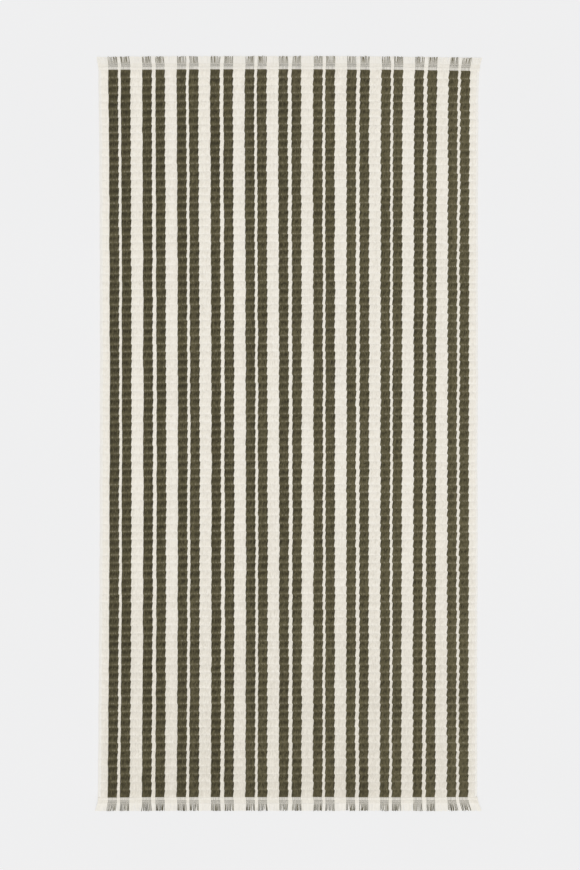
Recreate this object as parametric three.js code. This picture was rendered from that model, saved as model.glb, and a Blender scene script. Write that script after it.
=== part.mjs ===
// A flat-woven bath mat in heavy cotton rep. Green and cream bands of warp lie side by side on the
// face, a cream layer of warp covers the back, and one thick weft cord runs to and fro between them.
// A selvedge closes each long side. Each end closes with a narrow cream rib, a thin plain-woven
// heading and a cut fringe that spreads a little towards the corners.
//
// Millimetres. X runs across the mat, Y along it and Z up. The origin is on the floor, under the
// middle of the mat. "Far" pieces are at the +Y end and "near" pieces at the -Y end.
import * as THREE from "three";

// Lengths along the mat.
const matLength = 1200; // from fringe tip to fringe tip
const fringeLength = 12;
const fringeRoot = 2; // the part of the fringe next to the heading that isn't parted into tufts
const headingLength = 5;
const endRibLength = 5;
const wantedRibPitch = 12.4; // the woven length is shared out in ribs of about this size

// Widths across the mat. A warp end is one lengthwise yarn.
const endPitch = 1.6; // room that one warp end takes up
const stripeEnds = 9; // warp ends in each green stripe
const pairCount = 11; // the green stripes come in pairs
const pairGapEnds = [3, 4]; // cream ends inside a pair, for every other pair
const wideGapEnds = 12; // cream ends between two pairs
const edgeEnds = 7; // cream ends between the selvedge and the outermost stripe
const selvedgeWidth = 4;
const endSpread = 4.4; // how far a fringe corner stands out past the woven side
const tuftGap = 1; // between two tufts of the fringe

// Thicknesses.
const warpThickness = 1.4; // one layer of warp, on the face or on the back
const weftThickness = 3.6;
const endRibThickness = 6;
const headingThickness = 3;
const fringeThickness = 1.6;

// Details.
const binderRoom = 2.4; // between two picks of the weft cord, where a fine binding weft lies
const turnSteps = 4; // in each turn of the weft cord; an even number puts a point at its far side
const selvedgeRounding = 2.5;
const roundingSteps = 4; // straight steps in each rounded corner of a selvedge
const clearance = 0.3; // between pieces that touch

// What follows from them.
const bands = bandPlan();
const warpWidth = bands.at(-1).right;
const matWidth = warpWidth + 2 * selvedgeWidth;
const endLength = endRibLength + headingLength + fringeLength;
const wovenLength = matLength - 2 * endLength;
const ribCount = Math.round(wovenLength / wantedRibPitch);
const ribPitch = wovenLength / ribCount;
const weftLevel = warpThickness + clearance;
const faceLevel = weftLevel + weftThickness + clearance;
const matThickness = faceLevel + warpThickness;

const greenWarp = cotton(0x575140);
const creamWarp = cotton(0xe9e4d9);
const weftCotton = cotton(0xded8ca);
const mixedWarp = cotton(0xc4c0b2);

// A matt cotton of one colour.
function cotton(color) {
  return new THREE.MeshStandardMaterial({ color, roughness: 0.95, metalness: 0 });
}

// The bands of warp on the face, from left to right: their colour, and how far their two sides are
// from the left side of the warp.
function bandPlan() {
  const plan = [];
  const add = (colour, ends) => {
    const left = plan.length ? plan.at(-1).right : 0;
    plan.push({ colour, left, right: left + ends * endPitch });
  };
  add("cream", edgeEnds);
  for (let pair = 0; pair < pairCount; pair++) {
    if (pair > 0) add("cream", wideGapEnds);
    add("green", stripeEnds);
    add("cream", pairGapEnds[pair % pairGapEnds.length]);
    add("green", stripeEnds);
  }
  add("cream", edgeEnds);
  return plan;
}

function namedMesh(name, geometry, material) {
  const mesh = new THREE.Mesh(geometry, material);
  mesh.name = name;
  return mesh;
}

// A flat slab of an outline in the floor's plane, standing on z = 0.
function slab(name, outline, thickness, material) {
  const geometry = new THREE.ExtrudeGeometry(outline, { depth: thickness, bevelEnabled: false });
  return namedMesh(name, geometry, material);
}

// The green and cream bands of warp that make the face.
function faceBands() {
  const group = new THREE.Group();
  const made = { green: 0, cream: 0 };
  for (const { colour, left, right } of bands) {
    made[colour] += 1;
    const name = colour + "_" + String(made[colour]).padStart(2, "0");
    const geometry = new THREE.BoxGeometry(right - left - clearance, wovenLength, warpThickness);
    const mesh = namedMesh(name, geometry, colour === "green" ? greenWarp : creamWarp);
    mesh.position.x = (left + right) / 2;
    group.add(mesh);
  }
  group.position.set(-warpWidth / 2, 0, faceLevel + warpThickness / 2);
  return group;
}

// The cream warp under the whole weave, which lies on the floor.
function backWarp() {
  const geometry = new THREE.BoxGeometry(warpWidth, wovenLength, warpThickness);
  const mesh = namedMesh("back_warp", geometry, creamWarp);
  mesh.position.z = warpThickness / 2;
  return mesh;
}

// The middle line of the weft cord: one straight pick in each rib, joined to the next by a half
// circle at alternate sides. Its points are numbered evenly, however far apart they lie.
class WeftPath extends THREE.Curve {
  constructor(width) {
    super();
    this.points = [];
    this.tangents = [];
    const reach = warpWidth / 2 - ribPitch / 2 - width / 2; // to the middle of a turn
    for (let pick = 0; pick < ribCount; pick++) {
      const y = (pick + 0.5) * ribPitch - wovenLength / 2;
      const side = pick % 2 ? -1 : 1;
      const start = pick === 0 ? warpWidth / 2 : reach;
      const last = pick === ribCount - 1;
      this.add(-side * start, y, side, 0);
      this.add(side * (last ? warpWidth / 2 : reach), y, side, 0);
      if (!last) this.addTurn(side, reach, y);
    }
  }

  add(x, y, tangentX, tangentY) {
    this.points.push(new THREE.Vector3(x, y, 0));
    this.tangents.push(new THREE.Vector3(tangentX, tangentY, 0));
  }

  // The points of a turn between its two ends, which belong to the picks.
  addTurn(side, reach, y) {
    const radius = ribPitch / 2;
    for (let step = 1; step < turnSteps; step++) {
      const angle = (Math.PI * step) / turnSteps;
      const x = side * (reach + radius * Math.sin(angle));
      this.add(x, y + radius * (1 - Math.cos(angle)), side * Math.cos(angle), Math.sin(angle));
    }
  }

  get steps() {
    return this.points.length - 1;
  }

  getPointAt(share) {
    return this.points[Math.round(share * this.steps)].clone();
  }

  getTangentAt(share) {
    return this.tangents[Math.round(share * this.steps)].clone();
  }
}

// The thick weft cord, in one length, between the face and the back.
function weftCord() {
  const width = ribPitch - binderRoom;
  const path = new WeftPath(width);
  const section = new THREE.Shape();
  section.moveTo(0, width / 2);
  section.lineTo(-weftThickness / 2, width / 4);
  section.lineTo(-weftThickness / 2, -width / 4);
  section.lineTo(0, -width / 2);
  section.lineTo(weftThickness / 2, -width / 4);
  section.lineTo(weftThickness / 2, width / 4);
  const geometry = new THREE.ExtrudeGeometry(section, { steps: path.steps, extrudePath: path });
  const mesh = namedMesh("weft_cord", geometry, weftCotton);
  mesh.position.z = weftLevel + weftThickness / 2;
  return mesh;
}

// The doubled warp ends along one long side, which close the weave round the weft's turns.
function selvedge(name) {
  const width = selvedgeWidth - clearance;
  const round = selvedgeRounding;
  const section = new THREE.Shape();
  section.moveTo(0, 0);
  section.absarc(width - round, round, round, -Math.PI / 2, 0);
  section.absarc(width - round, matThickness - round, round, 0, Math.PI / 2);
  section.lineTo(0, matThickness);
  const geometry = new THREE.ExtrudeGeometry(section, {
    depth: wovenLength,
    bevelEnabled: false,
    curveSegments: roundingSteps,
  });
  geometry.rotateX(Math.PI / 2);
  geometry.translate(warpWidth / 2 + clearance, wovenLength / 2, 0);
  return namedMesh(name, geometry, creamWarp);
}

// Half the width of the mat at a distance past the woven end: it widens evenly up to the tips.
function halfWidthAt(distance) {
  return matWidth / 2 + (endSpread * distance) / endLength;
}

// A crosswise strip at the far end, between two distances past the woven end.
function crossStrip(name, from, to, thickness, material) {
  const outline = new THREE.Shape();
  outline.moveTo(-halfWidthAt(from), from + clearance);
  outline.lineTo(halfWidthAt(from), from + clearance);
  outline.lineTo(halfWidthAt(to), to);
  outline.lineTo(-halfWidthAt(to), to);
  return slab(name, outline, thickness, material);
}

// The fringe: a root strip with one tuft for each band of warp, spread towards the corners.
function fringe(name) {
  const start = endRibLength + headingLength;
  const parting = start + fringeRoot;
  const partings = bands.slice(1).map((band) => band.left - warpWidth / 2);
  const lefts = [-matWidth / 2, ...partings.map((x) => x + tuftGap / 2)];
  const rights = [...partings.map((x) => x - tuftGap / 2), matWidth / 2];
  const spread = (x, distance) => (x * halfWidthAt(distance)) / (matWidth / 2);
  const outline = new THREE.Shape();
  outline.moveTo(-halfWidthAt(start), start + clearance);
  lefts.forEach((left, tuft) => {
    const right = rights[tuft];
    outline.lineTo(spread(left, parting), parting);
    outline.lineTo(spread(left, endLength), endLength);
    outline.lineTo(spread(right, endLength), endLength);
    outline.lineTo(spread(right, parting), parting);
  });
  outline.lineTo(halfWidthAt(start), start + clearance);
  return slab(name, outline, fringeThickness, mixedWarp);
}

// What closes one end of the mat, past the woven end at y = 0.
function matEnd(which) {
  const group = new THREE.Group();
  const headingEnd = endRibLength + headingLength;
  group.add(crossStrip("end_rib_" + which, 0, endRibLength, endRibThickness, creamWarp));
  group.add(crossStrip("heading_" + which, endRibLength, headingEnd, headingThickness, mixedWarp));
  group.add(fringe("fringe_" + which));
  return group;
}

const mat = new THREE.Group();
mat.add(faceBands(), backWarp(), weftCord());

const leftSelvedge = selvedge("selvedge_left");
leftSelvedge.rotation.z = Math.PI;
mat.add(leftSelvedge, selvedge("selvedge_right"));

const farEnd = matEnd("far");
farEnd.position.y = wovenLength / 2;
const nearEnd = matEnd("near");
nearEnd.position.y = -wovenLength / 2;
nearEnd.rotation.z = Math.PI;
mat.add(farEnd, nearEnd);

export default mat;
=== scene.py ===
"""The looks of a flat-woven bath mat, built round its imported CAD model.

Lengths are in metres. Two cloth coordinates say where a yarn is in the weave: u runs across the mat
and v along it, as if the cloth were perfectly square. place() turns them into the lying mat's x and y.
A face end is a lengthwise yarn on the face, a rib is the cloth over one thick weft pick, and a groove
lies between two ribs, where the fine binding weft pulls the face and back ends past each other.
"""

import math

import bpy
import numpy as np
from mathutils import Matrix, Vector


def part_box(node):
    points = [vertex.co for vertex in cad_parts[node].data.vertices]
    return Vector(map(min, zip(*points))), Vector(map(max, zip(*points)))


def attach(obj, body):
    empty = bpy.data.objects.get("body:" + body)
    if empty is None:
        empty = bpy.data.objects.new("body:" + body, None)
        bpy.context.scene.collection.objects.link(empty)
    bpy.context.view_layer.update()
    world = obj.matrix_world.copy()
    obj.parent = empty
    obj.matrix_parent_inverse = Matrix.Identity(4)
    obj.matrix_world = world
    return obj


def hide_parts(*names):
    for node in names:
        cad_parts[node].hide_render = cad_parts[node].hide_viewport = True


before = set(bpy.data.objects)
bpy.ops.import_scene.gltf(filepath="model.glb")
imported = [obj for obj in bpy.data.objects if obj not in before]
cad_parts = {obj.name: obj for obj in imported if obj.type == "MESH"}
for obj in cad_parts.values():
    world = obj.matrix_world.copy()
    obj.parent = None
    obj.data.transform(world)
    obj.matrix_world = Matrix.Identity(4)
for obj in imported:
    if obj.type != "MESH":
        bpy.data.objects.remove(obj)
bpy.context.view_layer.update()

MM = 0.001

# Sizes of the weave. A layer is the warp over or under the weft.
END_PITCH = 1.6 * MM  # room that one warp end takes up across the mat
RIB_PITCH_WANTED = 12.4 * MM  # the ribs share out the woven length in about this size
RIDGE = 0.5 * MM  # how deep the line between two warp ends is
FACE_GROOVE = 0.95 * MM
BACK_GROOVE = 1.1 * MM
OLIVE_SPREAD = 0.25 * MM  # how far the olive yarns swell over the cream ones beside them
LAYER = 1.2 * MM  # how thick a layer is
DIP = 0.3 * MM  # how far a face end goes down between its neighbours in a groove
BINDER_ROOM = 2.4 * MM  # between two thick picks
HEADROOM = 0.1 * MM  # left under the model's top, for yarns that swell
UNDERSIDE = 0.1 * MM  # how far the selvedges and ends are off the floor

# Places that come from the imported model.
HALF_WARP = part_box("back_warp")[1].x
WOVEN_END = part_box("back_warp")[1].y
HALF_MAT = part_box("selvedge_right")[1].x
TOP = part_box("green_01")[1].z
WEFT_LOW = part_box("weft_cord")[0].z
WEFT_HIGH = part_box("weft_cord")[1].z
END_RIB_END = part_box("end_rib_far")[1].y
END_RIB_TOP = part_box("end_rib_far")[1].z
HEADING_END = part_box("heading_far")[1].y
HEADING_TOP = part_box("heading_far")[1].z
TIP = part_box("fringe_far")[1].y
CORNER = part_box("fringe_far")[1].x
RIBS = round(2 * WOVEN_END / RIB_PITCH_WANTED)
RIB_PITCH = 2 * WOVEN_END / RIBS


def band_nodes():
    """The face bands from left to right, as (node, left, right). The nodes of the olive stripes are
    called green."""
    names = [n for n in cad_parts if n.startswith(("green_", "cream_"))]
    names.sort(key=lambda name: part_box(name)[0].x)
    lows = [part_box(name)[0].x for name in names]
    highs = [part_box(name)[1].x for name in names]
    between = [(high + low) / 2 for high, low in zip(highs[:-1], lows[1:])]
    return list(zip(names, [-HALF_WARP, *between], [*between, HALF_WARP]))


BANDS = band_nodes()
EDGES = np.array([BANDS[0][1], *(right for _, _, right in BANDS)])
IS_GREEN = np.array([name.startswith("green") for name, _, _ in BANDS])


def in_stripe(u):
    """1 where u is in an olive stripe, and 0 elsewhere."""
    band = np.clip(np.searchsorted(EDGES, u, side="right") - 1, 0, len(BANDS) - 1)
    return IS_GREEN[band].astype(float)


# How the cloth lies.

def field(seed, step_x, step_y):
    """A smooth random field over the mat and a little past it, from -1 to 1, that changes over about
    one step."""
    reach_x, reach_y = 1.1 * CORNER, 1.1 * TIP
    shape = (math.ceil(2 * reach_x / step_x) + 2, math.ceil(2 * reach_y / step_y) + 2)
    values = np.random.default_rng(seed).uniform(-1, 1, shape)

    def at(x, y):
        x, y = (x + reach_x) / step_x, (y + reach_y) / step_y
        i, j = np.floor(x).astype(int), np.floor(y).astype(int)
        s, t = x - i, y - j
        s, t = s * s * (3 - 2 * s), t * t * (3 - 2 * t)
        low = values[i, j] * (1 - s) + values[i + 1, j] * s
        high = values[i, j + 1] * (1 - s) + values[i + 1, j + 1] * s
        return low * (1 - t) + high * t

    return at


RIPPLE = field(2, 26 * MM, 34 * MM)  # of the ends, sideways, over a few ribs
JOSTLE = field(3, 11 * MM, RIB_PITCH)  # of the ends, sideways, from rib to rib
WOBBLE = field(4, 55 * MM, RIB_PITCH)  # of the ribs, along the mat
THICKNESS = field(5, 24 * MM, 15 * MM)  # of the cloth


def rib_phase(v):
    """How far v is through its rib, from 0 at one groove to 1 at the next."""
    return np.mod((v + WOVEN_END) / RIB_PITCH, 1.0)


def slant(v):
    """Where a warp end stands in its sideways zigzag, from -0.5 to 0.5: it leans over each rib and
    springs back at the groove."""
    down = 1 - rib_phase(v)
    zigzag = np.interp(down, [0, 0.14, 0.93, 1], [-0.32, 0.5, -0.5, -0.32])
    return np.where(np.abs(v) < WOVEN_END, zigzag, 0)


def slant_sizes():
    """How wide the zigzag is at each edge of a band. At the right edge of a stripe it is about the
    same everywhere, and at the left edge it grows from the mat's left side to its right."""
    across = (EDGES + HALF_WARP) / (2 * HALF_WARP)
    left_edges = (0.3 + 1.6 * across) * MM
    right_edges = (1.15 + 0.25 * across) * MM
    is_left = np.append(IS_GREEN, False)
    sizes = np.where(is_left, left_edges, right_edges)
    sizes[0], sizes[-1] = 0.1 * MM, 0.4 * MM
    return sizes


SLANT_SIZES = slant_sizes()


def drift(u, v):
    """How far the lengthwise yarns stand to the right of an even weave: most in the middle, while the
    left side spreads out towards both ends. The far end itself is pulled over a little more."""
    across, along = u / HALF_MAT, v / TIP
    middle = 2.1 * np.cos(math.pi / 2 * across)
    left_spread = -1.5 * (1 - across) * along**2
    swing = -0.8 * np.cos(math.pi * across) * along
    tilt = 0.6 * np.sin(math.pi * across) * np.sin(math.pi / 2 * along)
    far_pull = (1.4 - 2 * ((1 - across) / 2) ** 3) * np.exp(np.minimum(v - WOVEN_END, 0) / (70 * MM))
    return (middle + left_spread + swing + tilt + far_pull) * MM


def fringe_spread(u, v):
    """How far the fringe leans out past the woven part: most at its near right corner."""
    across = u / HALF_MAT
    past = np.clip((np.abs(v) - WOVEN_END) / (TIP - WOVEN_END), 0, 1)
    near_right = np.where(v < 0, np.maximum(across, 0) ** 12, 0) * 3.5 * MM
    return ((CORNER - HALF_MAT) * across**5 + near_right) * past**1.5


def bow(u, v):
    """How far the crosswise lines hang from straight: they droop to both sides, more to the right
    and towards the far end, but less again at the end itself."""
    across, along = u / HALF_MAT, v / TIP
    to_right = (2.6 + 2.3 * along) * across**2
    to_left = (1.3 + 0.6 * along) * across**2
    easing = 1 - 0.5 * np.exp(np.minimum(v - WOVEN_END, 0) / (40 * MM))
    return -np.where(across > 0, to_right, to_left) * easing * MM


def place(u, v):
    """The x and y of a point of the weave."""
    x = u + drift(u, v) + fringe_spread(u, v)
    x = x + (0.25 * RIPPLE(u, v) + 0.55 * JOSTLE(u, v)) * MM
    x = x + np.interp(u, EDGES, SLANT_SIZES) * slant(v)
    y = v + bow(u, v) + 0.35 * MM * WOBBLE(u, v)
    return x, y


# Meshes.

SHARP = math.radians(75)  # an edge between faces that turn more than this is drawn sharp


def skin(name, rings, spans=None, folds=1, olive=None, **attributes):
    """One mesh of closed tubes. rings holds points as (tube, ring, point round the ring, xyz), and
    each ring's points go clockwise as seen from the ring before. spans and folds are for cell_map().
    olive is 1 for each face of an olive yarn, and attributes are numbers for each point."""
    tubes, rows, around = rings.shape[:3]
    index = np.arange(tubes * rows * around).reshape(tubes, rows, around)
    beside = np.roll(index, -1, axis=2)
    quads = np.stack([index[:, :-1], beside[:, :-1], beside[:, 1:], index[:, 1:]], axis=-1)
    starts, ends = index[:, 0, ::-1], index[:, -1]
    corners = np.concatenate([quads.ravel(), starts.ravel(), ends.ravel()])
    sizes = np.concatenate([np.full(quads.size // 4, 4), np.full(2 * tubes, around)])
    mesh = bpy.data.meshes.new(name)
    mesh.vertices.add(index.size)
    mesh.vertices.foreach_set("co", rings.astype(np.float32).ravel())
    mesh.loops.add(len(corners))
    mesh.loops.foreach_set("vertex_index", corners.astype(np.int32))
    mesh.polygons.add(len(sizes))
    mesh.polygons.foreach_set("loop_start", (np.cumsum(sizes) - sizes).astype(np.int32))
    mesh.polygons.foreach_set("use_smooth", np.ones(len(sizes), bool))
    mesh.update(calc_edges=True)
    mesh.set_sharp_from_angle(angle=SHARP)
    for attribute, values in attributes.items():
        data = mesh.attributes.new(attribute, "FLOAT", "POINT").data
        data.foreach_set("value", np.broadcast_to(values, index.shape).astype(np.float32).ravel())
    if olive is not None:
        caps = np.zeros(2 * tubes)
        data = mesh.attributes.new("olive", "FLOAT", "FACE").data
        data.foreach_set("value", np.concatenate([olive.ravel(), caps]).astype(np.float32))
    layer = mesh.uv_layers.new(name="OFBake")
    layer.uv.foreach_set("vector", cell_map(rings, spans, folds).astype(np.float32).ravel())
    piece = bpy.data.objects.new(name, mesh)
    bpy.context.scene.collection.objects.link(piece)
    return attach(piece, "root")


CELL_MARGIN = 0.02  # share of a cell of the UV map that is left free at each side
CAP_RADIUS = 0.01  # of a tube's end in the UV map, in cells


def cell_map(rings, spans, folds):
    """The UV of each corner of skin's faces. Each tube, or each of its folds along its length, has a
    cell of its own. spans are the shares of a cell's width that the stretches round a ring get."""
    tubes, rows, around = rings.shape[:3]
    widths = np.ones(around) if spans is None else np.asarray(spans, float)
    across = np.concatenate([[0], np.cumsum(widths)]) / widths.sum()
    cells = tubes * folds
    columns = cells if tubes == 1 else math.ceil(math.sqrt(cells))
    lines = math.ceil(cells / columns)
    long_rows = math.ceil((rows - 1) / folds)
    row = np.arange(rows - 1)
    cell = np.arange(tubes)[:, None] * folds + row // long_rows
    shrink = 1 - 2 * CELL_MARGIN
    left = (cell % columns)[..., None, None]
    bottom = (cell // columns)[..., None, None]
    step_across = across[np.arange(around)[:, None] + np.array([0, 1, 1, 0])]
    step_along = ((row % long_rows)[:, None] + np.array([0, 0, 1, 1])) / long_rows
    u = (left + CELL_MARGIN + shrink * step_across[None, None]) / columns
    v = (bottom + CELL_MARGIN + shrink * step_along[None, :, None]) / lines
    quads = np.stack(np.broadcast_arrays(u, v), axis=-1).reshape(-1, 2)
    angle = 2 * math.pi * np.arange(around) / around
    disc = 0.5 + CAP_RADIUS * np.stack([np.cos(angle), np.sin(angle)], axis=-1)
    caps = np.broadcast_to(disc, (2 * tubes, around, 2)).reshape(-1, 2)
    return np.concatenate([quads, caps * [1 / columns, 1 / lines]])


def section(columns, top, low):
    """A ring of points as (row, point, xyz) for a flat strip: its top from left to right, and then
    its two lower corners. columns are the top's x and y, and top and low are heights."""
    x, y = columns
    upper = np.stack([x, y, top], axis=-1)
    lower = np.stack([x[:, [-1, 0]], y[:, [-1, 0]], low[:, [-1, 0]]], axis=-1)
    return np.concatenate([upper, lower], axis=1)


def on_ring(values):
    """Numbers for the points of a section's top, carried on to its two lower corners."""
    return np.pad(values, ((0, 0), (0, 2)), mode="edge")[None]


def strip_spans(count):
    """skin's spans for a section's ring with count points on top: most of the room is for the top."""
    return [1] * (count - 1) + [0.4] * 3


def columns_between(left, right, ends, per_end):
    """The u of each column of points, and how far each is down the line between two ends: 1 in
    the line and 0 on the yarn's crest."""
    share = np.arange(ends * per_end + 1) / per_end
    side = np.abs(2 * np.mod(share, 1) - 1)
    return left + (right - left) * share / ends, 1 - np.sqrt(1 - side**2)


def rib_rows(phases):
    """The v of each row of points, at the same phases in every rib."""
    steps = np.arange(RIBS)[:, None] + np.array(phases)
    return np.append(steps.ravel(), RIBS) * RIB_PITCH - WOVEN_END


def crown(v):
    """How far the cloth is down from a rib's top: 0 on the rib and 1 in the groove."""
    from_middle = np.abs(2 * rib_phase(v) - 1)
    return from_middle**2.6


def interlace(v):
    """1 in a groove, where the other layer's ends come up between these, and 0 past it. It is wider on
    the rib's near side, so that the specks there are painted light on the flank that faces the light."""
    down = 1 - rib_phase(v)
    return np.interp(down, [0, 0.11, 0.86, 1], [1, 0, 0, 1])


def painted_face_light(v):
    """Painted light on the stripes' yarns for their place in a rib: it makes them palest by the groove on
    its near side, like light on the flank that faces the light, and leaves them darkest just past the
    groove. At both ends of the stripes it makes them all rather pale."""
    down = 1 - rib_phase(v)
    in_rib = np.interp(down, [0, 0.12, 0.3, 0.5, 1], [1, 0.8, 0, 0, 1]) * groove_strength(v)
    at_end = 0.7 * np.exp((np.abs(v) - WOVEN_END) / (6 * MM))
    return np.maximum(in_rib, at_end)


def painted_side_light(u):
    """How much painted light makes the cream yarns paler near the mat's two long sides."""
    return np.interp(np.abs(u), [HALF_WARP - 12 * MM, HALF_WARP], [0, 0.4])


def groove_strength(v):
    """How clearly the grooves' colours and painted light show: less over the last few ribs at the near
    end.
    """
    return np.interp(v, [-WOVEN_END, -WOVEN_END + 5 * RIB_PITCH], [0.4, 1])


TONE_STEP = 2.2 * MM
PLY_TURN = 0.9 * MM  # between two slanting lines of a yarn's twist


def tones(rng, ends, v):
    """How pale each yarn is at each v, as (v, end): about 0, and different every few millimetres."""
    knots = np.arange(-TIP, TIP + TONE_STEP, TONE_STEP)
    steady = rng.normal(0, 0.3, (ends, 1))
    values = steady + rng.normal(0, 1, (ends, len(knots)))
    return np.stack([np.interp(v, knots, one) for one in values], axis=1)


FACE_ROWS = (0, 0.05, 0.12, 0.29, 0.48, 0.67, 0.84, 0.95)
FACE_COLUMNS = 4  # points across each face end
BAND_FOLDS = 9  # of a long band in its UV map
UNEVENNESS = 0.15 * MM  # how much thicker or thinner the cloth is from place to place
END_UNEVENNESS = 0.06 * MM  # and from one end to the next
MOST_SPECK = 1.3  # of the other layer's yarn in a groove, where 1 would be all of it


def face_band(node, left, right):
    """The face ends of one band, with the other layer's ends showing between them in the grooves."""
    ends = round((right - left) / END_PITCH)
    swell = OLIVE_SPREAD if node.startswith("green") else -OLIVE_SPREAD
    u, line = columns_between(left - swell, right + swell, ends, FACE_COLUMNS)
    v = rib_rows(FACE_ROWS)
    rng = np.random.default_rng(round((left + HALF_WARP) / END_PITCH) + 100)
    end_of_column = np.minimum(np.arange(len(u)) // FACE_COLUMNS, ends - 1)
    rib_of_row = np.minimum(np.arange(len(v)) // len(FACE_ROWS), RIBS - 1)
    tone = tones(rng, ends, v)[:, end_of_column]
    uneven = rng.normal(0, END_UNEVENNESS, (RIBS, ends))[rib_of_row][:, end_of_column]
    size = rng.uniform(0, 1, (RIBS + 1, ends + 1)) ** 2 * MOST_SPECK
    nearest_line = np.round(np.arange(len(u)) / FACE_COLUMNS).astype(int)
    nearest_groove = np.round((v + WOVEN_END) / RIB_PITCH).astype(int)
    size = size[nearest_groove][:, nearest_line]
    u, v = np.meshgrid(u, v)
    meet = interlace(v)
    groove = crown(v)
    top = TOP - FACE_GROOVE * groove - RIDGE * line * (1 - meet) - DIP * (1 - line) * meet
    top += (uneven * (1 - line) + UNEVENNESS * THICKNESS(u, v)) * (1 - groove) - HEADROOM
    low = TOP - LAYER - FACE_GROOVE * groove
    ring = section(place(u, v), top, low)
    other = line * meet * size * groove_strength(v)
    # Painted light: the stripes are paler by their grooves, and the cream bands near the mat's long
    # sides.
    pale = painted_face_light(v) if node.startswith("green") else painted_side_light(u)
    piece = skin(
        node + "_face", ring[None], strip_spans(u.shape[1]), folds=BAND_FOLDS,
        seam=on_ring(line * (1 - meet)), other=on_ring(other), pale=on_ring(pale), tone=on_ring(tone),
    )
    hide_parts(node)
    return piece


BACK_ROWS = (0, 0.09, 0.5, 0.91)
BACK_COLUMNS = 2


def back_cloth():
    """The back ends of the whole mat, which touch the floor at each rib."""
    ends = round(2 * HALF_WARP / END_PITCH)
    u, line = columns_between(HALF_WARP, -HALF_WARP, ends, BACK_COLUMNS)
    v = rib_rows(BACK_ROWS)
    rng = np.random.default_rng(7)
    end_of_column = np.minimum(np.arange(len(u)) // BACK_COLUMNS, ends - 1)
    tone = tones(rng, ends, v)[:, end_of_column]
    u, v = np.meshgrid(u, v)
    meet = interlace(v)
    groove = crown(v)
    bottom = BACK_GROOVE * groove + RIDGE * line * (1 - meet) + DIP * (1 - line) * meet
    high = LAYER + BACK_GROOVE * groove
    ring = section(place(u, v), bottom, high)
    speck = rng.uniform(0.2, 1.2, u.shape)
    piece = skin(
        "back_cloth", ring[None], strip_spans(u.shape[1]),
        other=on_ring(line * meet * speck * in_stripe(u)), tone=on_ring(tone),
        seam=on_ring(line * (1 - meet)),
    )
    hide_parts("back_warp")
    return piece


def ring_round(centres, directions, wide, high, around, twist=None, plies=0.0):
    """Rings of an oval tube, as (tube, ring, point, xyz). twist turns the bulges of its two plies."""
    angle = math.pi - 2 * math.pi * np.arange(around) / around
    sideways = np.stack([directions[..., 1], -directions[..., 0], 0 * directions[..., 0]], axis=-1)
    swell = 1 if twist is None else 1 + plies * np.cos(2 * (angle - twist[..., None]))
    across = (wide / 2 * swell * np.cos(angle))[..., None]
    upward = (high / 2 * swell * np.sin(angle))[..., None] * np.array([0, 0, 1])
    return centres[..., None, :] + across * sideways[..., None, :] + upward


def headings_of(centres):
    """The direction of each tube's middle line, level, at each of its rings."""
    step = np.gradient(centres, axis=-2)
    step[..., 2] = 0
    return step / np.linalg.norm(step, axis=-1, keepdims=True)


PICK_POINTS = 16
TURN_POINTS = 3  # between two picks


def serpentine(half, phase, picks):
    """The cloth coordinates of a weft that runs to and fro, one pick in each rib or groove."""
    u, v = [], []
    reach = half - RIB_PITCH / 2
    for pick in range(picks):
        side = 1 if pick % 2 == 0 else -1
        level = (pick + phase) * RIB_PITCH - WOVEN_END
        u += list(np.linspace(-side * reach, side * reach, PICK_POINTS))
        v += [level] * PICK_POINTS
        if pick < picks - 1:
            angle = np.linspace(0, math.pi, TURN_POINTS + 2)[1:-1]
            u += list(side * (reach + RIB_PITCH / 2 * np.sin(angle)))
            v += list(level + RIB_PITCH / 2 * (1 - np.cos(angle)))
    return np.array(u), np.array(v)


WEFT_TWIST = 0.9  # radians from one point to the next
WEFT_PLIES = 0.06  # how far the plies stand out, as a share of the yarn's size


def weft(name, half, phase, picks, wide, high, around):
    """A plied weft yarn in one length, halfway up between the face and the back."""
    u, v = serpentine(half, phase, picks)
    x, y = place(u, np.clip(v, -WOVEN_END, WOVEN_END))
    z = np.full_like(x, (WEFT_LOW + WEFT_HIGH) / 2)
    centres = np.stack([x, y, z], axis=-1)[None]
    twist = np.arange(len(x))[None] * WEFT_TWIST
    ring = ring_round(centres, headings_of(centres), wide, high, around, twist, WEFT_PLIES)
    return skin(name, ring, folds=8)


def thick_weft():
    """The thick cotton weft that fills each rib. Its plies stay inside the height of its CAD solid."""
    wide = RIB_PITCH - BINDER_ROOM
    high = 0.9 * (WEFT_HIGH - WEFT_LOW)
    half = HALF_WARP - wide / 2 - 0.5 * MM
    piece = weft("weft_cord_round", half, 0.5, RIBS, wide, high, 12)
    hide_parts("weft_cord")
    return piece


def binding_weft():
    """The fine weft in each groove, which ties the face and back ends together."""
    half = HALF_MAT - 3.2 * MM
    wide, high = 1.1 * MM, 1.0 * MM
    return weft("binding_weft", half, 0, RIBS + 1, wide, high, 6)


SELVEDGE_ENDS = 4
SELVEDGE_COLUMNS = 3  # points across each of its ends
EDGE_THICKNESS = 1.2 * MM  # of a selvedge at its outer side
PULL_IN = 0.3 * MM  # how far a selvedge's outer side goes in at each groove
UNDER_BAND = 0.3 * MM  # how far a selvedge reaches in beside the outermost band
LEFT_LOOSE = 1.2 * MM  # how much wider the left selvedge lies


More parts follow.
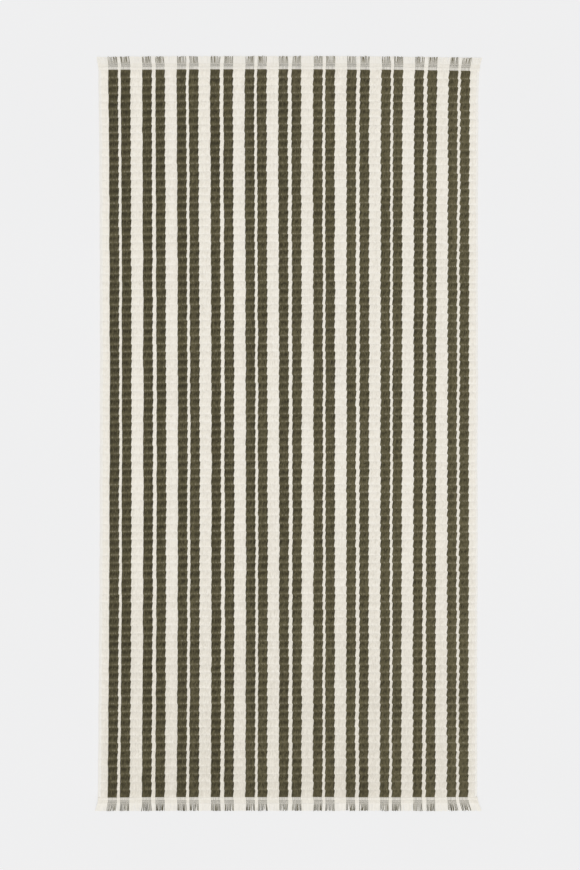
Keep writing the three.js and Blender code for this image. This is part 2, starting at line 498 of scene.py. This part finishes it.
def selvedge(node, side):
    """The close ends along one long side, which slope down over the weft's turns."""
    v = rib_rows(FACE_ROWS)
    inner = HALF_WARP - UNDER_BAND
    share, line = columns_between(0, 1, SELVEDGE_ENDS, SELVEDGE_COLUMNS)
    rng = np.random.default_rng(50 + side)
    end_of_column = np.minimum(np.arange(len(share)) // SELVEDGE_COLUMNS, SELVEDGE_ENDS - 1)
    tone = tones(rng, SELVEDGE_ENDS, v)[:, end_of_column]
    line = np.tile(line, (len(v), 1))
    share, v = np.meshgrid(share, v)
    groove = crown(v)
    height = TOP - EDGE_THICKNESS - FACE_GROOVE * groove
    top = EDGE_THICKNESS + height * (1 - share**1.6) - RIDGE * line * (1 - share) - HEADROOM
    outer = HALF_MAT + (LEFT_LOOSE if side < 0 else 0)
    reach = (outer - inner) * share - (RIDGE * line + PULL_IN * groove) * share
    x, y = place(np.full_like(v, side * inner), v)
    x = x + side * reach
    order = slice(None, None, side)
    ring = section((x[:, order], y[:, order]), top[:, order], np.full_like(top, UNDERSIDE))
    piece = skin(
        node + "_yarns", ring[None], strip_spans(top.shape[1]), folds=BAND_FOLDS,
        tone=on_ring(tone[:, order]), seam=on_ring(line[:, order]),
    )
    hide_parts(node)
    return piece


def end_columns(side, per_end):
    """Columns over the mat's whole width, for the far end from left to right and for the near end
    from right to left: u, the line between ends, and which end each is on."""
    ends = round(2 * HALF_MAT / END_PITCH)
    u, line = columns_between(-side * HALF_MAT, side * HALF_MAT, ends, per_end)
    end_of_column = np.minimum(np.arange(len(u)) // per_end, ends - 1)
    return u, line, end_of_column


def end_level(v):
    """How high the cloth is past the woven part: it thins evenly, with a slight swell over the end
    rib and a low step down to the heading."""
    past = np.abs(v) - WOVEN_END
    rib = END_RIB_END - WOVEN_END
    slope = (END_RIB_TOP - HEADING_TOP) / (HEADING_END - WOVEN_END)
    even = TOP - FACE_GROOVE - slope * 0.8 * past
    swell = np.interp(past / rib, [0, 0.1, 0.4, 0.8, 1], [0, 0.3, 0.6, 0.5, 0]) * MM
    return even + swell


END_RIB_ROWS = 12


def end_rib(node, side):
    """The narrow rib past the stripes, where the cream ends are on the face everywhere. The olive
    ends show between them in the stripes."""
    u, line, end_of_column = end_columns(side, FACE_COLUMNS)
    v = side * np.linspace(WOVEN_END, END_RIB_END, END_RIB_ROWS)
    rng = np.random.default_rng(11 + side)
    tone = tones(rng, end_of_column[-1] + 1, v)[:, end_of_column]
    show = rng.uniform(0.5, 1.0, end_of_column[-1] + 2)
    show = show[np.round(np.arange(len(u)) / FACE_COLUMNS).astype(int)]
    u, v = np.meshgrid(u, v)
    top = end_level(v) - RIDGE * line
    ring = section(place(u, v), top, np.full_like(top, UNDERSIDE))
    piece = skin(
        node + "_yarns", ring[None], strip_spans(u.shape[1]),
        other=on_ring(line * show * in_stripe(u)), tone=on_ring(tone),
        seam=on_ring(np.broadcast_to(line, u.shape)),
    )
    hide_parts(node)
    return piece


HEADING_PICKS = 4
HEADING_ROWS = 6  # rows of points over each pick
HEADING_COLUMNS = 8  # points across each end's room, which an olive and a cream end share
CROSSING = 0.3 * MM  # how far the upper yarn swells where an end and a pick cross
HIDDEN = -0.75  # in the wave over the picks, an olive end is hidden below this


def olive_half(u):
    """1 where the olive end of a pair of ends is, and 0 on the cream one beside it."""
    return in_stripe(u) * (np.mod((u + HALF_MAT) / END_PITCH, 1) < 0.5)


def heading(node, side):
    """The thin plain weave at an end: the ends from the face and the back, side by side, go over
    and under fine cream picks, which hide every other crossing of an olive end."""
    u, _, end_of_column = end_columns(side, HEADING_COLUMNS)
    half = np.mod(np.arange(len(u)) / (HEADING_COLUMNS / 2), 1)
    line = 1 - np.sqrt(1 - np.abs(2 * half - 1) ** 2)
    share = np.linspace(0, 1, HEADING_ROWS * HEADING_PICKS + 1)
    v = side * (END_RIB_END + (HEADING_END - END_RIB_END) * share)
    tone = tones(np.random.default_rng(15 + side), end_of_column[-1] + 1, v)[:, end_of_column]
    pick_wave = np.sin(math.pi * HEADING_PICKS * (share[:-1] + share[1:]) / 2)
    olive = np.outer(pick_wave > HIDDEN, olive_half((u[:-1] + u[1:]) / 2))
    u, v = np.meshgrid(u, v)
    swell = np.abs(np.sin(math.pi * HEADING_PICKS * share))[:, None]
    top = end_level(v) + CROSSING * (swell - line)
    ring = section(place(u, v), top, np.full_like(top, UNDERSIDE))
    piece = skin(
        node + "_yarns", ring[None], strip_spans(u.shape[1]),
        olive=np.pad(olive, ((0, 0), (0, 3))), tone=on_ring(tone),
        seam=on_ring(np.broadcast_to(line, u.shape)),
    )
    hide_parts(node)
    return piece


STRAND_RINGS = 9
STRAND_POINTS = 8
STRAND_ROOT = 0.8 * MM  # how far a strand starts inside the heading, and under its top
SWAY = 1.5 * MM  # how far a strand with a lean of 1 stands sideways at its tip
LENGTH_SPREAD = 0.4 * MM  # how unevenly the strands are cut
FAR_SHORTER, NEAR_LONGER = 0.7 * MM, 0.2 * MM  # than the fringe's solid
STRAND_TWIST = 11  # radians from a strand's root to its tip
STRAND_PLIES = 0.12  # how far the plies stand out, as a share of the strand's size
OLIVE_LIFT = 0.2 * MM  # how much higher the olive strands lie


def fringe(node, side):
    """The loose cut yarns at an end, in a cream piece and an olive piece. Each end's room holds one
    from the face and one from the back, so that in the stripes every other strand is olive. The
    olive ones come from the face, so they lie a little higher."""
    strands = 2 * round(2 * HALF_MAT / END_PITCH)
    u = (np.arange(strands) + 0.5) * END_PITCH / 2 - HALF_MAT
    olive = olive_half(u) > 0
    rng = np.random.default_rng(20 + side)
    lean = 0.5 * field(30 + side, 5 * MM, 40 * MM)(u, u * 0) + rng.normal(0, 0.3, strands)
    curl = rng.normal(0, 0.2, strands)
    length = rng.normal(0, LENGTH_SPREAD, strands) + (-FAR_SHORTER if side > 0 else NEAR_LONGER)
    level = rng.uniform(0.6, 1.5, strands) * MM + OLIVE_LIFT * olive
    share = np.linspace(0, 1, STRAND_RINGS)[None]
    start = HEADING_END - STRAND_ROOT
    rise = end_level(start) - STRAND_ROOT
    v = side * (start + (TIP - start + length[:, None]) * share)
    x, y = place(np.broadcast_to(u[:, None], v.shape), v)
    sideways = lean[:, None] * share**1.3 + curl[:, None] * np.sin(math.pi * share) * 0.6
    x = x + sideways * SWAY
    z = rise + (level[:, None] - rise) * share
    centres = np.stack([x, y, z], axis=-1)
    twist = rng.uniform(0, math.pi, strands)[:, None] + share * STRAND_TWIST
    wide = rng.uniform(0.95, 1.15, strands)[:, None, None] * MM * (1 + 0.08 * share[..., None])
    along = headings_of(centres)
    ring = ring_round(centres, along, wide, 0.85 * wide, STRAND_POINTS, twist, STRAND_PLIES)
    tone = np.broadcast_to(rng.normal(0, 1, strands)[:, None, None], ring.shape[:3])
    cream_piece = skin(node + "_cream", ring[~olive], tone=tone[~olive])
    olive_piece = skin(node + "_olive", ring[olive], tone=tone[olive])
    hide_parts(node)
    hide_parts(node)
    return cream_piece, olive_piece


# Materials.

class Nodes:
    """A material's nodes. add() makes a node and sets its inputs to numbers or links them."""

    def __init__(self, name):
        self.material = bpy.data.materials.new(name)
        self.material.use_nodes = True
        self.tree = self.material.node_tree
        self.tree.nodes.clear()

    def add(self, kind, inputs=None, **settings):
        node = self.tree.nodes.new(kind)
        for setting, value in settings.items():
            setattr(node, setting, value)
        for socket, value in (inputs or {}).items():
            if isinstance(value, bpy.types.NodeSocket):
                self.tree.links.new(value, node.inputs[socket])
            else:
                node.inputs[socket].default_value = value
        return node

    def noise(self, where, scale, detail=2.0):
        """Noise at a place. scale is how many lumps it has in a metre, along x, y and z."""
        stretched = self.add("ShaderNodeMapping", {"Vector": where, "Scale": scale})
        inputs = {"Vector": stretched.outputs[0], "Scale": 1.0, "Detail": detail}
        return self.add("ShaderNodeTexNoise", inputs).outputs["Fac"]

    def math(self, operation, a, b):
        return self.add("ShaderNodeMath", {0: a, 1: b}, operation=operation).outputs[0]

    def mix(self, share, a, b):
        """A colour between a and b. The node's colours are its inputs 6 and 7 and its output 2."""
        return self.add("ShaderNodeMix", {0: share, 6: a, 7: b}, data_type="RGBA").outputs[2]


def linear(red, green, blue):
    """A colour given in sRGB numbers from 0 to 255."""
    def one(value):
        value /= 255
        return value / 12.92 if value <= 0.04045 else ((value + 0.055) / 1.055) ** 2.4
    return (one(red), one(green), one(blue), 1.0)


# The whitest cream is painted light: cream is mixed towards it to look lit.
CREAM_PAINTED_LIGHT = linear(255, 252, 245)
CREAM_PALE = linear(255, 253, 246)
CREAM_MAIN = linear(252, 247, 236)
CREAM_DULL = linear(230, 224, 211)
OLIVE_PALE = linear(108, 101, 74)
OLIVE_FRAYED_AND_LIT = linear(141, 134, 112)
OLIVE_MAIN = linear(76, 70, 48)
OLIVE_DEEP = linear(54, 49, 32)
SPECK = linear(196, 188, 164)

# Lumps of noise in a metre, along x, y and z.
FIBRES = (1900, 650, 1200)
FINE_FIBRES = (4200, 900, 2400)
CLOUDS = (14, 11, 10)
FLOOR_CLOUDS = (3, 3, 3)


def yarn_colour(nodes, where, shades, by_yarn, by_place):
    """A colour from deep, main and pale shades. by_yarn is how much it changes from yarn to yarn, and
    with the yarn's fibres, its twist, wide clouds and the painted shade in the seams between yarns.
    by_place is added."""
    deep, main, pale = shades
    tone = nodes.math("MULTIPLY", attribute(nodes, "tone"), by_yarn)
    fibres = nodes.math("SUBTRACT", nodes.noise(where, FIBRES, 3), 0.5)
    twist = nodes.math("SUBTRACT", ply_twist(nodes, where), 0.6)
    clouds = nodes.math("SUBTRACT", nodes.noise(where, CLOUDS), 0.5)
    tone = nodes.math("ADD", tone, nodes.math("MULTIPLY", fibres, 4 * by_yarn))
    tone = nodes.math("ADD", tone, nodes.math("MULTIPLY", twist, by_yarn))
    tone = nodes.math("ADD", tone, nodes.math("MULTIPLY", clouds, 2 * by_yarn))
    tone = nodes.math("ADD", tone, by_place)
    # Painted shade: darker in the seams between yarns.
    tone = nodes.math("SUBTRACT", tone, nodes.math("MULTIPLY", attribute(nodes, "seam"), 2 * by_yarn))
    paler = nodes.add("ShaderNodeClamp", {"Value": tone}).outputs[0]
    deeper = nodes.add("ShaderNodeClamp", {"Value": nodes.math("MULTIPLY", tone, -1.0)}).outputs[0]
    return nodes.mix(deeper, nodes.mix(paler, main, pale), deep)


WAVE_SCALE = math.pi / 10  # the Wave Texture's scale for one line in a metre
TWIST_SLANT = 0.55  # radians that the lines of a yarn's twist slant


def ply_twist(nodes, where):
    """1 on the strands that a yarn is twisted from and 0 between them: slanting lines, which start
    elsewhere on each yarn."""
    turned = nodes.add("ShaderNodeMapping", {"Vector": where, "Rotation": (0, 0, TWIST_SLANT)}).outputs[0]
    shift = nodes.math("MULTIPLY", attribute(nodes, "tone"), 2.0)
    inputs = {
        "Vector": turned,
        "Scale": WAVE_SCALE / PLY_TURN,
        "Distortion": 0.8,
        "Detail": 1.0,
        "Detail Scale": 3.0,
        "Phase Offset": shift,
    }
    return nodes.add("ShaderNodeTexWave", inputs, bands_direction="Y").outputs["Fac"]


def trend(nodes, where, axis, start, end, change):
    """A number that goes from 0 to change between two places along an axis."""
    along = nodes.add("ShaderNodeSeparateXYZ", {"Vector": where}).outputs[axis]
    inputs = {"Value": along, "From Min": start, "From Max": end, "To Min": 0.0, "To Max": change}
    return nodes.add("ShaderNodeMapRange", inputs).outputs[0]


BUMP_DEPTH = 0.14 * MM  # of a yarn's twist and fibres


def cotton_surface(nodes, where, colour):
    """Matt cotton of a colour, with its twist and fibres in the bump and roughness."""
    fibres = nodes.noise(where, FINE_FIBRES, 3)
    height = nodes.math("ADD", nodes.math("MULTIPLY", fibres, 0.5), ply_twist(nodes, where))
    bump = nodes.add("ShaderNodeBump", {"Height": height, "Strength": 0.8, "Distance": BUMP_DEPTH})
    roughness = nodes.math("ADD", nodes.math("MULTIPLY", fibres, 0.16), 0.8)
    shader = nodes.add("ShaderNodeBsdfPrincipled", {
        "Base Color": colour,
        "Roughness": roughness,
        "Normal": bump.outputs[0],
        "Sheen Weight": 0.18,
        "Sheen Roughness": 0.5,
        "Specular IOR Level": 0.2,
    })
    nodes.add("ShaderNodeOutputMaterial", {"Surface": shader.outputs[0]})
    return nodes.material


def object_place(nodes):
    return nodes.add("ShaderNodeTexCoord").outputs["Object"]


def attribute(nodes, name):
    return nodes.add("ShaderNodeAttribute", attribute_name=name).outputs["Fac"]


def cream_colour(nodes, where):
    """Cream yarn, with painted shade that makes it duller towards the near end, where the light falls
    off.
    """
    painted_near_shade = trend(nodes, where, "Y", -0.2 * TIP, -TIP, -0.5)
    return yarn_colour(nodes, where, (CREAM_DULL, CREAM_MAIN, CREAM_PALE), 0.25, painted_near_shade)


def olive_colour(nodes, where):
    """Olive yarn, which is a little paler towards the right side."""
    paler = trend(nodes, where, "X", -CORNER, CORNER, 0.75)
    return yarn_colour(nodes, where, (OLIVE_DEEP, OLIVE_MAIN, OLIVE_PALE), 0.6, paler)


def olive_face():
    """The stripes: olive yarns, with painted light by the grooves and cream specks of the back's ends in
    the grooves.
    """
    nodes = Nodes("olive_face")
    where = object_place(nodes)
    # Painted light: paler by the grooves and at the stripes' ends.
    painted_face_light = nodes.math("MULTIPLY", attribute(nodes, "pale"), 0.6)
    colour = nodes.mix(painted_face_light, olive_colour(nodes, where), OLIVE_PALE)
    speck = nodes.math("MULTIPLY", attribute(nodes, "other"), 0.75)
    colour = nodes.mix(speck, colour, SPECK)
    return cotton_surface(nodes, where, colour)


def cream_face():
    """The cream bands, with painted light that makes them paler near the mat's two long sides."""
    nodes = Nodes("cream_face")
    where = object_place(nodes)
    colour = nodes.mix(attribute(nodes, "pale"), cream_colour(nodes, where), CREAM_PAINTED_LIGHT)
    return cotton_surface(nodes, where, colour)


def plain_cream(name, painted_light_share):
    """Cream yarns, whitened by a share of painted light."""
    nodes = Nodes(name)
    where = object_place(nodes)
    colour = nodes.mix(painted_light_share, cream_colour(nodes, where), CREAM_PAINTED_LIGHT)
    return cotton_surface(nodes, where, colour)


def frayed_and_lit_olive():
    """The olive strands of the fringe, which are paler for their loose fibres, and paler still towards
    the far end by painted light.
    """
    nodes = Nodes("olive_strands")
    where = object_place(nodes)
    frayed_and_lit = nodes.math("ADD", trend(nodes, where, "Y", -TIP, TIP, 0.6), 0.05)
    colour = nodes.mix(frayed_and_lit, olive_colour(nodes, where), OLIVE_FRAYED_AND_LIT)
    return cotton_surface(nodes, where, colour)


def cream_and_olive(name, painted_light_share):
    """Cream yarns, whitened by a share of painted light, and olive ones where the attribute "olive" says
    so, or "other" between two ends.
    """
    nodes = Nodes(name)
    where = object_place(nodes)
    cream = nodes.mix(painted_light_share, cream_colour(nodes, where), CREAM_PAINTED_LIGHT)
    share = nodes.math("MAXIMUM", attribute(nodes, "other"), attribute(nodes, "olive"))
    colour = nodes.mix(share, cream, olive_colour(nodes, where))
    return cotton_surface(nodes, where, colour)


FLOOR_GLOW = 0.45
FLOOR_SIZE = 60.0
WORLD_LIGHT = 0.72
SUN_LIGHT = 0.78
SUN_FROM = (0.1, -0.55, 1)
SUN_WIDTH = math.radians(70)


def floor_paint():
    """Matt pale grey with a faint glow, like a light table, so that shadows stay weak."""
    nodes = Nodes("floor_paint")
    where = object_place(nodes)
    clouds = nodes.noise(where, FLOOR_CLOUDS)
    colour = nodes.mix(clouds, linear(176, 176, 177), linear(179, 179, 180))
    shader = nodes.add("ShaderNodeBsdfPrincipled", {
        "Base Color": colour,
        "Roughness": 0.9,
        "Specular IOR Level": 0.0,
        "Emission Color": (1, 1, 1, 1),
        "Emission Strength": FLOOR_GLOW,
    })
    nodes.add("ShaderNodeOutputMaterial", {"Surface": shader.outputs[0]})
    return nodes.material


# The studio.

CAMERA_HEIGHT = 4.0
CAMERA_X, CAMERA_Y = 1.3 * MM, -2.9 * MM  # a little off the mat's middle, as in the photo
MAT_SHARE = 0.8687  # of the picture's height, which the mat's length takes up


def camera():
    """Straight down over the mat, in a long lens that sees it almost without perspective."""
    data = bpy.data.cameras.new("camera")
    data.lens = data.sensor_width * (CAMERA_HEIGHT - TOP) * MAT_SHARE / (2 * TIP)
    item = bpy.data.objects.new("camera", data)
    item.location = (CAMERA_X, CAMERA_Y, CAMERA_HEIGHT)
    bpy.context.scene.collection.objects.link(item)
    bpy.context.scene.camera = item


def soft_sun():
    """A wide sun, so that the light is as strong everywhere."""
    data = bpy.data.lights.new("soft_sun", "SUN")
    data.energy = SUN_LIGHT
    data.angle = SUN_WIDTH
    item = bpy.data.objects.new("soft_sun", data)
    item.rotation_euler = Vector(SUN_FROM).to_track_quat("Z", "Y").to_euler()
    bpy.context.scene.collection.objects.link(item)


def studio():
    """A pale floor, even light from all round, and a weak soft light from the near side."""
    mesh = bpy.data.meshes.new("floor")
    half = FLOOR_SIZE / 2
    corners = [(-half, -half, 0), (half, -half, 0), (half, half, 0), (-half, half, 0)]
    mesh.from_pydata(corners, [], [(0, 1, 2, 3)])
    mesh.materials.append(floor_paint())
    floor = bpy.data.objects.new("floor", mesh)
    bpy.context.scene.collection.objects.link(floor)
    world = bpy.data.worlds.new("studio")
    world.use_nodes = True
    background = world.node_tree.nodes["Background"]
    background.inputs["Color"].default_value = (1, 1, 1, 1)
    background.inputs["Strength"].default_value = WORLD_LIGHT
    bpy.context.scene.world = world
    soft_sun()
    bpy.context.scene.view_settings.view_transform = "Standard"


def dress(piece, material):
    piece.data.materials.append(material)
    return piece


def build():
    camera()
    studio()
    olive, cream = olive_face(), cream_face()
    # The end yarns' cream is whitened by painted light that lifts the shade at the ends. The back's cream
    # is not whitened.
    mixed, back_mixed = cream_and_olive("end_yarns", 0.45), cream_and_olive("back_yarns", 0.0)
    # The selvedges and the fringe's cream strands are whitened by painted light, which lifts the shade at
    # the mat's sides and between the strands.
    edge_cream, cream_strands = plain_cream("selvedge_yarns", 1.0), plain_cream("cream_strands", 0.7)
    olive_strands, natural = frayed_and_lit_olive(), plain_cream("weft_cotton", 0.0)
    for (node, left, right), green in zip(BANDS, IS_GREEN):
        piece = face_band(node, left, right)
        dress(piece, olive if green else cream)
    dress(thick_weft(), natural)
    dress(binding_weft(), natural)
    for side, end, edge in ((1, "far", "right"), (-1, "near", "left")):
        dress(selvedge("selvedge_" + edge, side), edge_cream)
        dress(end_rib("end_rib_" + end, side), mixed)
        dress(heading("heading_" + end, side), mixed)
        cream_piece, olive_piece = fringe("fringe_" + end, side)
        dress(cream_piece, cream_strands)
        dress(olive_piece, olive_strands)
    back = dress(back_cloth(), back_mixed)


build()
